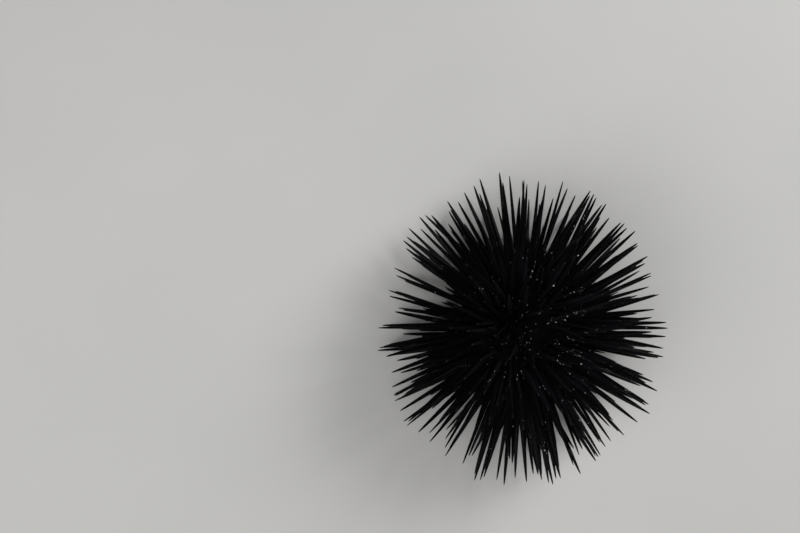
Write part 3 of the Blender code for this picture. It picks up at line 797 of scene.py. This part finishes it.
def spine_piece(name, spines, coat):
    """Ribbed spines with a milled collar at the root, joined into one piece."""
    chance = np.random.default_rng(len(spines) + FINE_SEED)
    direction = gathered(spines, "direction")
    length, base, resting = (gathered(spines, each)[:, None] for each in ("length", "radius", "resting"))
    collar = np.array(COLLAR)
    shaft = np.maximum(length * np.array(SHAFT_SHARES), base * 1.5 + np.arange(len(SHAFT_SHARES)) * 1e-5)
    distance = np.concatenate([base * collar[:, 0], shaft], axis=1)
    share = np.clip(distance / length, 0, 1)
    sharp = np.maximum((1 - share) ** TAPER_POWER, POINT_SHARE)
    width = np.where(resting, 1 - BLUNT_TAPER * share, sharp) * base
    width[:, :len(COLLAR)] *= collar[:, 1]
    turn = circles(2 * SPINE_RIBS)
    fade = rise(distance - base, base) * np.clip((1 - share) / 0.15, 0.2, 1)
    mill = (distance > 0.4 * base) & (distance < 0.9 * base)
    ribbed = 1 + np.cos(SPINE_RIBS * turn) * RIB_DEPTH * np.maximum(fade, 0.7 * mill)[..., None]
    flattened = 1 + FLATTENING * (resting * share ** 2)[..., None] * np.cos(2 * turn)
    bend = chance.normal(size=(len(spines), 2)) * BOWING * length
    side, other = frames(direction)
    centres = gathered(spines, "foot")[:, None] + direction[:, None] * distance[..., None]
    centres += np.sin(np.pi * share)[..., None] * (
        bend[:, None, :1] * side[:, None] + bend[:, None, 1:] * other[:, None]
    )
    points = tube_points(centres, direction, width[..., None] * ribbed * flattened)
    # Points of a resting spine that would lie below the floor slide back up to it along the spine
    axis = np.where(resting, direction, 0)[:, None, None]
    slide = np.minimum(points[..., 2:], 0) / np.minimum(axis[..., 2:], -0.2)
    points = points - slide * axis * (axis[..., 2:] < -0.2)
    tube_piece(name, points, gathered(spines, "place"), chance.uniform(0, 1, len(spines)), coat)


def tubercle_piece(spines, coat):
    """Low round knobs that the spines sit on."""
    profile = np.array(KNOB)
    outward = gathered(spines, "outward")
    base = gathered(spines, "radius")[:, None]
    height = (profile[:, 1] * base - SKIN_DEPTH)[..., None]
    centres = gathered(spines, "foot")[:, None] + outward[:, None] * height
    radius = np.repeat((profile[:, 0] * base)[..., None], KNOB_COLUMNS, axis=2)
    shade = np.random.default_rng(KNOB_SEED).uniform(0, 1, len(spines))
    tube_piece("tubercles", tube_points(centres, outward, radius), gathered(spines, "place"), shade, coat)


def row_places(first, step):
    """Distances from the disc of the rows of plates in one column."""
    rows = [first]
    while rows[-1] < MERIDIAN.total:
        rows.append(rows[-1] + (BELLY_ROW if rows[-1] > MERIDIAN.widest else step))
    return np.array(rows)


def shell_piece(coat):
    """The whole shell as one skin, with shallow seams between its plates and its edges turned in."""
    distance = np.linspace(0, MERIDIAN.total, SKIN_ROWS)
    places = np.array([MERIDIAN.at(each) for each in distance])
    radius, height, elevation = places[:, :1], places[:, 1:2], places[:, 2:]
    narrow = np.array([MERIDIAN.narrow_half(each) for each in distance])[:, None]
    azimuth = FIRST_RAY + circles(SKIN_COLUMNS)
    turned_by = (azimuth - FIRST_RAY + RAY_STEP / 2) % RAY_STEP - RAY_STEP / 2
    turn = np.abs(turned_by)
    inside = turn < narrow
    late = np.where(inside, turned_by > 0, turned_by < 0)
    lift = np.full(inside.shape, -SKIN_DEPTH)
    for wide, first, step in ((True, FIRST_WIDE_ROW, WIDE_ROW), (False, FIRST_NARROW_ROW, NARROW_ROW)):
        for half in (False, True):
            level = row_places(first + half * step / 2, step)
            away = (np.interp(distance, level, np.arange(len(level))) + 0.5) % 1
            away = np.minimum(away, 1 - away) * step
            mine = (inside != wide) & (late == half)
            lift -= mine * PLATE_SEAM[0] * ridge(away[:, None], PLATE_SEAM[1])
    from_middle = np.where(inside, turn, RAY_STEP / 2 - turn) * radius
    lift -= COLUMN_SEAM[0] * ridge(from_middle, COLUMN_SEAM[1])
    lift -= SECTOR_SEAM[0] * ridge(np.abs(turn - narrow) * radius, SECTOR_SEAM[1])
    radius = radius + np.cos(elevation) * lift
    height = height + np.sin(elevation) * lift
    points = np.stack([radius * np.cos(azimuth), radius * np.sin(azimuth), height], axis=-1)
    turned_in = np.array([HEM_SHARE, HEM_SHARE, 1])
    top_hem = points[:1] * turned_in - [0, 0, HEM_DEPTH]
    mouth_hem = points[-1:] * turned_in + [0, 0, HEM_DEPTH]
    points = np.concatenate([top_hem, points, mouth_hem])
    distance = np.concatenate([[-HEM_DEPTH], distance, [MERIDIAN.total + HEM_DEPTH]])
    ring, column, quads = grid(len(points), SKIN_COLUMNS)
    angle = column * 2 * np.pi / SKIN_COLUMNS + FIRST_RAY
    depth = distance[ring]
    around = np.arange(SKIN_COLUMNS)[None]
    faces = [quads, around, (len(points) - 1) * SKIN_COLUMNS + around[:, ::-1]]
    circle = np.stack([np.cos(azimuth), np.sin(azimuth)], axis=-1)
    caps = [0.5 + 0.04 * circle, 0.03 + 0.02 * circle[::-1]]
    bake = [np.stack(bake_place(depth, angle), axis=-1), *caps]
    fibre = [np.stack([angle / 2 / np.pi, depth / MERIDIAN.total], axis=-1), *caps]
    mesh_piece("shell_skin", points.reshape(-1, 3), faces, bake, fibre, coat, 0.5, 0.5)


def bent_tubes(name, roots, directions, bends, lengths, widths, profile, coat, places, clefts=None):
    """Small soft tubes that leave the body along a direction and bend away to one side."""
    lengths, widths = lengths[:, None], widths[:, None]
    share = np.linspace(0, 1, len(profile))
    centres = roots[:, None] + directions[:, None] * (lengths * share)[..., None]
    centres += bends[:, None] * (lengths * share ** 2)[..., None]
    centres[..., 2] = np.maximum(centres[..., 2], widths * 1.2)
    columns = 10 if clefts is None else 9
    radius = np.repeat((widths * np.array(profile))[..., None], columns, axis=2)
    if clefts is not None:
        radius = radius * (1 + np.array(clefts)[:, None] * np.cos(3 * circles(columns)))
    shade = np.random.default_rng(len(roots)).uniform(0, 1, len(roots))
    tube_piece(name, tube_points(centres, directions, radius), places, shade, coat)


def tubes_between(name, spines, sites, chance, lengths, widths, spread, bend, profile, coat, clefts=None):
    """Soft tubes on the shell that keep clear of the spines, or else are left out."""
    kept = []
    for site, length, width in zip(sites, lengths, widths):
        for attempt in range(TUBE_TRIES):
            tube = placed_spine(site, np.radians(spread * chance.normal(size=2)), (length, width))
            if tube.resting:
                tube.resting = False
                tube.length = min(length, tube.foot[2] / max(0.1, -tube.direction[2]))
                tube.tip = tube.foot + tube.direction * tube.length
            if nearest_room(tube, spines) > TUBE_CLEARANCE:
                kept.append(tube)
                break
    directions = gathered(kept, "direction")
    roots = gathered(kept, "foot") - directions * TUBE_SINK
    bends = chance.normal(size=(len(kept), 3)) * bend
    bent_tubes(name, roots, directions, bends, gathered(kept, "length"), gathered(kept, "radius"),
               profile, coat, gathered(kept, "place"), clefts)


def feet_piece(spines, coat):
    """Tube feet from the pores along both sides of each narrow sector."""
    chance = np.random.default_rng(FOOT_SEED)
    sites = []
    for ray, side, middle in HALVES:
        for distance in np.arange(0.0022, MERIDIAN.total - 0.0008, FOOT_STEP):
            half = MERIDIAN.narrow_half(distance) - FOOT_INSET / MERIDIAN.at(distance)[0]
            sites.append(("narrow", ray, distance, middle + side * half))
    low_down = np.array([ease(0, MERIDIAN.widest, site[2]) for site in sites])
    lengths = chance.uniform(*FOOT_LENGTHS, len(sites)) * (1 + low_down)
    widths = chance.uniform(*FOOT_WIDTHS, len(sites))
    tubes_between("tube_feet", spines, sites, chance, lengths, widths, FOOT_LEAN, FOOT_BEND, FOOT_PROFILE,
                  coat)


def pincer_piece(spines, coat):
    """Tiny stalked pincers between the spines, with three pale jaws."""
    chance = np.random.default_rng(PINCER_SEED)
    sites = [random_site(chance, 0.001, MERIDIAN.total - 0.001) for _ in range(PINCERS)]
    lengths = chance.uniform(*PINCER_LENGTHS, PINCERS)
    widths = chance.uniform(*PINCER_WIDTHS, PINCERS)
    tubes_between("pincers", spines, sites, chance, lengths, widths, PINCER_LEAN, PINCER_BEND,
                  PINCER_PROFILE, coat, PINCER_CLEFTS)


class Sight:
    """Where the camera sees the spines, to lay grains at places in the picture."""

    def __init__(self, spines, samples=90):
        self.spines = spines
        shares = np.linspace(0.15, 0.96, samples)
        self.points = np.array([
            spine.foot + np.outer(shares * spine.length, spine.direction) for spine in spines
        ])
        self.thickness = np.array([[spine.thickness(share) for share in shares] for spine in spines])
        lines = self.points - CAMERA_PLACE
        self.depth = lines @ DOWNWARD
        self.across = PHOTO_SIZE[0] / 2 + lines @ RIGHTWARD * CAMERA_REACH / self.depth
        self.below = PHOTO_SIZE[1] / 2 - lines[..., 1] * CAMERA_REACH / self.depth

    def settled(self, across, below):
        """The spine that shows at or very near a place in the picture, and a point of its surface there."""
        gap = np.hypot(self.across - across, self.below - below)
        gap = np.maximum(gap - 0.8 * self.thickness * CAMERA_REACH / self.depth, 0)
        found = np.unravel_index(np.argmin(self.depth + SIDESTEP * gap), gap.shape)
        spine, centre, thickness = self.spines[found[0]], self.points[found], self.thickness[found]
        aside = (RIGHTWARD * (across - self.across[found])
                 - np.array([0, 1, 0]) * (below - self.below[found])) * self.depth[found] / CAMERA_REACH
        facing = CAMERA_PLACE - centre
        facing -= spine.direction * (facing @ spine.direction)
        facing /= np.linalg.norm(facing)
        side = np.cross(spine.direction, facing)
        shift = float(np.clip(aside @ side, -0.8 * thickness, 0.8 * thickness))
        centre = centre + side * shift + facing * math.sqrt(thickness ** 2 - shift ** 2)
        return spine, centre + spine.direction * (aside @ spine.direction)


def grain_piece(spines, coat):
    """Sand grains and crumbs of shell caught on the upper sides of the spines, most towards +X."""
    chance = np.random.default_rng(GRAIN_SEED)
    upper = [spine for spine in spines if spine.distance < MERIDIAN.widest * 0.95]
    golden = (1 + math.sqrt(5)) / 2
    corners = np.array([
        (-1, golden, 0), (1, golden, 0), (-1, -golden, 0), (1, -golden, 0),
        (0, -1, golden), (0, 1, golden), (0, -1, -golden), (0, 1, -golden),
        (golden, 0, -1), (golden, 0, 1), (-golden, 0, -1), (-golden, 0, 1),
    ]) / math.hypot(1, golden)
    triangles = np.array([
        (0, 11, 5), (0, 5, 1), (0, 1, 7), (0, 7, 10), (0, 10, 11), (1, 5, 9), (5, 11, 4),
        (11, 10, 2), (10, 7, 6), (7, 1, 8), (3, 9, 4), (3, 4, 2), (3, 2, 6), (3, 6, 8),
        (3, 8, 9), (4, 9, 5), (2, 4, 11), (6, 2, 10), (8, 6, 7), (9, 8, 1),
    ])
    grains = []             # points, place on the bake map and shade of each

    def lump():
        return corners * chance.uniform(0.6, 1.3, size=(12, 1))

    while len(grains) < GRAINS:
        spine = upper[int(chance.integers(len(upper)))]
        lit = 0.5 + 0.5 * math.cos(spine.azimuth)
        if chance.uniform() > 0.08 + 0.92 * lit ** 2:
            continue
        middle = chance.uniform(0.15, 0.85)
        up = UPWARD - spine.direction * spine.direction[2]
        up /= np.linalg.norm(up) + 1e-9
        beside = np.cross(spine.direction, up)
        for grain in range(int(1 + 8 * chance.uniform() ** 3)):
            share = float(np.clip(middle + 0.09 * chance.normal(), 0.05, 0.95))
            lean = 0.6 * chance.normal()
            normal = up * math.cos(lean) + beside * math.sin(lean)
            size = 0.00006 + 0.00019 * chance.uniform() ** 2.5
            centre = spine.foot + spine.direction * spine.length * share
            centre = centre + normal * (spine.thickness(share) + size * 0.3)
            shape = lump() * size
            stretch = 1 + 1.8 * chance.uniform() ** 2
            shape = shape + np.outer(shape @ spine.direction, spine.direction) * (stretch - 1)
            grains.append((shape + centre, spine.place, chance.uniform()))
    for grain in range(TOP_GRAINS):
        azimuth = math.pi + 0.7 * chance.normal()
        radius = VALVE_RADIUS + (DISC_RADIUS - VALVE_RADIUS) * chance.uniform()
        level = crown_height(radius) + 0.0003
        centre = np.array([radius * math.cos(azimuth), radius * math.sin(azimuth), level])
        shape = lump() * chance.uniform(0.00008, 0.00022)
        grains.append((shape + centre, bake_place(0, azimuth), chance.uniform()))
    specks = list(SPECKS)
    for string in STRINGS:
        for here, there in zip(string, string[1:]):
            specks.append((*here, 0.5 + 0.15 * chance.uniform()))
            steps = int(math.dist(here, there) / STRING_STEP)
            for step in range(1, steps):
                between = [a + (b - a) * step / steps + 0.2 * chance.normal() for a, b in zip(here, there)]
                specks.append((*between, FINE_GRAIN))
        specks.append((*string[-1], LAST_GRAIN))
    sight = Sight(upper)
    for across, below, radius in specks:
        spine, centre = sight.settled(across, below)
        shape = lump() * radius / SCALE_AT_SHELL
        grains.append((shape + centre, spine.place, chance.uniform(0, 1.1 * radius)))
    points, places, shade = (np.array(each) for each in zip(*grains))
    faces = [(triangles + (np.arange(len(grains)) * 12)[:, None, None]).reshape(-1, 3)]
    flat = [corners[triangles][..., :2] * 0.3 * PATCH + places[:, None, None]]
    mesh_piece("grains", points.reshape(-1, 3), faces, flat, flat, coat, np.repeat(shade, 12), 0.5)


def disc_piece(coat):
    """Five large plates, each with a pore, and five small ones at their outer corners."""
    inner = VALVE_RADIUS
    outer = DISC_RADIUS + 1.2 * GAP
    bottom = crown_height(DISC_RADIUS + GAP) - DISC_THICKNESS
    top = [(radius, crown_height(radius) - SKIN_DEPTH) for radius in np.linspace(inner, outer, 34)]

    def relief(radius, azimuth, height):
        turn = np.abs((azimuth - FIRST_RAY + RAY_STEP / 2) % RAY_STEP - RAY_STEP / 2)
        from_edge = (turn - SMALL_PLATE_HALF * rise(radius / DISC_RADIUS - 0.6, 0.32)) * radius
        dome = PLATE_DOME * (1 - ridge(from_edge, PLATE_EDGE))
        rim = rise(radius - inner, 0.0005) * rise(outer - radius, 0.0007)
        from_pore = ((turn - RAY_STEP / 2) * radius) ** 2 + (radius - PORE_RADIUS) ** 2
        pore = PORE_DEPTH * np.exp(-(from_pore / PORE_WIDTH ** 2))
        knobs = 0.00005 * np.sin(azimuth * 60) * np.sin(radius * 9000)
        return (dome * rim - pore + knobs * rim) * (height > bottom + 1e-6)

    turned_piece("top_plates", [(inner, bottom), *top, (outer, bottom)], 240, relief, coat)


def valve_piece(coat):
    """Four small valves that meet in the middle of the top."""
    bottom = crown_height(DISC_RADIUS + GAP) - DISC_THICKNESS
    edge = crown_height(0) - VALVE_SINK
    outer = VALVE_RADIUS + GAP / 6
    top = [(radius, edge + VALVE_RISE * (1 - (radius / outer) ** 2.5))
           for radius in np.linspace(outer, 0.00012, 16)]

    def relief(radius, azimuth, height):
        turn = (azimuth * VALVES / 2 / np.pi) % 1 - 0.5
        near = np.abs(np.abs(turn) - 0.5) * 2 * np.pi / VALVES * radius
        return -VALVE_SEAM[0] * ridge(near, VALVE_SEAM[1]) * (height > bottom + 1e-6)

    turned_piece("top_valves", [(outer, bottom), *top][::-1], 96, relief, coat, closed=False)


def mouth_piece(coat):
    """Skin of the mouth: thick puckered lips and fine rings of folds out to the shell."""
    inner = TOOTH_RING_RADIUS + GAP
    outer = MOUTH_RADIUS - GAP * 0.6
    knots = np.array([      # radius, and height above the mouth's level
        (inner, 0), (LIP_RADIUS - 0.0003, -0.0006), (LIP_RADIUS + 0.0004, -0.0004),
        (LIP_RADIUS + 0.0012, 0.0002), ((LIP_RADIUS + outer) / 2, 0.0001),
        (outer - 0.0008, 0.0004), (outer, 0.0006),
    ])
    radii = np.linspace(inner, outer, 46)
    underside = zip(radii, np.interp(radii, knots[:, 0], MOUTH_LEVEL + knots[:, 1]))

    def relief(radius, azimuth, height):
        pucker = 0.00016 * np.sin(azimuth * 25) * ridge(radius - LIP_RADIUS, 0.0009)
        wander = 1.5 * np.sin(azimuth * 10) + 1.1 * np.sin(azimuth * 7 + radius * 900)
        wander = wander + 0.8 * np.sin(azimuth * 23 + 1)
        depth = 0.6 + 0.4 * np.sin(azimuth * 6 + radius * 1400 + 2)
        folds = 0.00007 * depth * np.sin(radius * 7500 + wander)
        creases = np.sin(azimuth * 40 + 3 * np.sin(radius * 1100)) * np.sin(radius * 1500 + azimuth * 3)
        folds = folds + 0.00004 * creases
        rim = rise(outer - radius, 0.0004) * rise(radius - inner, 0.0003)
        return (pucker + folds) * rim * (height < ROOF_LEVEL - 1e-6)

    outline = [(inner, ROOF_LEVEL), *underside, (outer, ROOF_LEVEL)]
    turned_piece("mouth_skin", outline[::-1], 250, relief, coat)


def mouth_feet_piece(coat):
    """Five pairs of short feet with suckers on the mouth's skin."""
    azimuths = np.array([middle + side * FOOT_SPREAD for _, side, middle in HALVES])
    each = np.ones(len(azimuths))
    roots = np.stack([
        FOOT_RING_RADIUS * np.cos(azimuths), FOOT_RING_RADIUS * np.sin(azimuths), each * FOOT_ROOT_LEVEL,
    ], axis=1)
    bent_tubes("mouth_feet", roots, each[:, None] * -UPWARD, np.zeros_like(roots),
               each * (FOOT_ROOT_LEVEL - FOOT_TIP_LEVEL), each * FOOT_RADIUS, MOUTH_FOOT_PROFILE, coat,
               np.stack(bake_place(each * MERIDIAN.total, azimuths), axis=1))


def gill_piece(coat):
    """Ten small bushes of gill lobes where the sectors meet the mouth's edge."""
    chance = np.random.default_rng(GILL_SEED)
    roots, directions, places = [], [], []
    for _, side, middle in HALVES:
        azimuth = middle + side * MERIDIAN.narrow_half(MERIDIAN.total)
        for lobe in range(GILL_LOBES):
            turn = azimuth + chance.normal() * 0.045
            ring = MOUTH_RADIUS + chance.uniform(-0.0004, 0.0006)
            roots.append((ring * math.cos(turn), ring * math.sin(turn), MOUTH_LEVEL + 0.0005))
            aim = np.array([math.cos(turn), math.sin(turn), -1.1]) + 0.45 * chance.normal(size=3)
            directions.append(aim / np.linalg.norm(aim))
            places.append(bake_place(MERIDIAN.total, turn))
    count = len(roots)
    lengths = chance.uniform(*GILL_LENGTHS, count)
    widths = chance.uniform(*GILL_WIDTHS, count)
    bends = chance.normal(size=(count, 3)) * GILL_BEND
    bent_tubes("gills", np.array(roots), np.array(directions), bends, lengths, widths, GILL_PROFILE, coat,
               np.array(places))


def tooth_piece(ray, material, rings=22, columns=24):
    """One pale tooth with a rounded back and a keel towards the middle."""
    middle = FIRST_RAY + ray * RAY_STEP
    height = np.linspace(ROOF_LEVEL, TOOTH_TIP_LEVEL, rings)[:, None]
    levels = [TOOTH_TIP_LEVEL, MOUTH_LEVEL - 0.0012, MOUTH_LEVEL]
    back = np.interp(height, levels, TOOTH_BACKS)
    half = np.interp(height, levels[::2], TOOTH_HALVES)
    turn = -circles(columns)
    out = (back + TOOTH_KEEL) / 2 + (back - TOOTH_KEEL) / 2 * np.cos(turn)
    across = half * np.sin(turn) * (0.62 + 0.38 * np.cos(turn))
    points = np.stack([
        out * math.cos(middle) - across * math.sin(middle),
        out * math.sin(middle) + across * math.cos(middle),
        np.repeat(height, columns, axis=1),
    ], axis=-1)[None]
    coat = material, "teeth", [f"tooth_{ray + 1}"]
    tube_piece(f"tooth_{ray + 1}_fine", points, np.array([[0.5, 0.5]]), [0.5], coat, patch=0.9)


def floor_and_light():
    """Pale floor, soft light from all round and three large soft lamps, strongest at the upper right."""
    mesh = bpy.data.meshes.new("floor")
    ends = [(x * FLOOR_HALF, y * FLOOR_HALF, 0) for x, y in ((-1, -1), (1, -1), (1, 1), (-1, 1))]
    mesh.from_pydata(ends, [], [(0, 1, 2, 3)])
    floor = bpy.data.objects.new("floor", mesh)
    bpy.context.scene.collection.objects.link(floor)
    paint = Paint("floor_pale", 0.9, 0.2)
    paint.link(paint.mottled(paint.noise(6, 3), (0.50, 0.495, 0.48), (0.54, 0.53, 0.515)), "Base Color")
    mesh.materials.append(paint.material)
    world = bpy.data.worlds.new("studio")
    world.use_nodes = True
    sky = world.node_tree.nodes["Background"]
    sky.inputs["Color"].default_value = (0.93, 0.96, 1.0, 1)
    sky.inputs["Strength"].default_value = SKY_STRENGTH
    bpy.context.scene.world = world
    for name, place, width, power in LAMPS:
        data = bpy.data.lights.new(name, "AREA")
        data.shape = "DISK"
        data.size = width
        data.energy = power
        lamp = bpy.data.objects.new(name, data)
        lamp.location = place
        lamp.rotation_euler = (-Vector(place)).to_track_quat("-Z", "Y").to_euler()
        bpy.context.scene.collection.objects.link(lamp)
    bpy.context.scene.view_settings.view_transform = "Standard"


def camera():
    """Camera above the urchin, looking down and a little to the right, as the photo does."""
    data = bpy.data.cameras.new("camera")
    data.sensor_width = SENSOR_WIDTH
    data.lens = CAMERA_REACH / PHOTO_SIZE[0] * SENSOR_WIDTH
    data.clip_start = 0.01
    made = bpy.data.objects.new("camera", data)
    made.location = CAMERA_PLACE + AXIS
    made.rotation_euler = (0, -CAMERA_TILT, 0)
    bpy.context.scene.collection.objects.link(made)
    bpy.context.scene.camera = made


def main():
    spines = spine_layout()
    spines += fine_layout(spines)
    black = spine_paint()
    for ray in range(RAYS):
        for kind, node in (("narrow", "ambulacrum"), ("wide", "interambulacrum")):
            own = [spine for spine in spines if (spine.kind, spine.ray) == (kind, ray)]
            spine_piece(f"spines_{kind}_{ray + 1}", own, (black, "shell_and_spines", [f"{node}_{ray + 1}"]))
    shell = shell_paint(), "shell_and_spines", SECTORS
    shell_piece(shell)
    tubercle_piece(spines, shell)
    flesh = soft_paint("foot_dark", (0.0030, 0.0029, 0.0031), (0.0085, 0.0080, 0.0080), 0.35)
    feet_piece(spines, (flesh, "mouth_skin", SECTORS))
    pincer_piece(spines, (pincer_paint(), "mouth_skin", SECTORS))
    grain_piece(spines, (grain_paint(), "shell_and_spines", SECTORS))
    disc_piece((plate_paint(), "plates", ["apical_disc"]))
    valve_piece((valve_paint(), "valves", ["periproct"]))
    skin = soft_paint("mouth_skin_dark", (0.010, 0.007, 0.006), (0.034, 0.024, 0.020), 0.30)
    mouth_piece((skin, "mouth_skin", ["peristome"]))
    mouth_feet_piece((skin, "mouth_skin", ["peristome"]))
    gill_piece((flesh, "mouth_skin", ["peristome"]))
    ivory = tooth_paint()
    for ray in range(RAYS):
        tooth_piece(ray, ivory)
    floor_and_light()
    camera()


main()
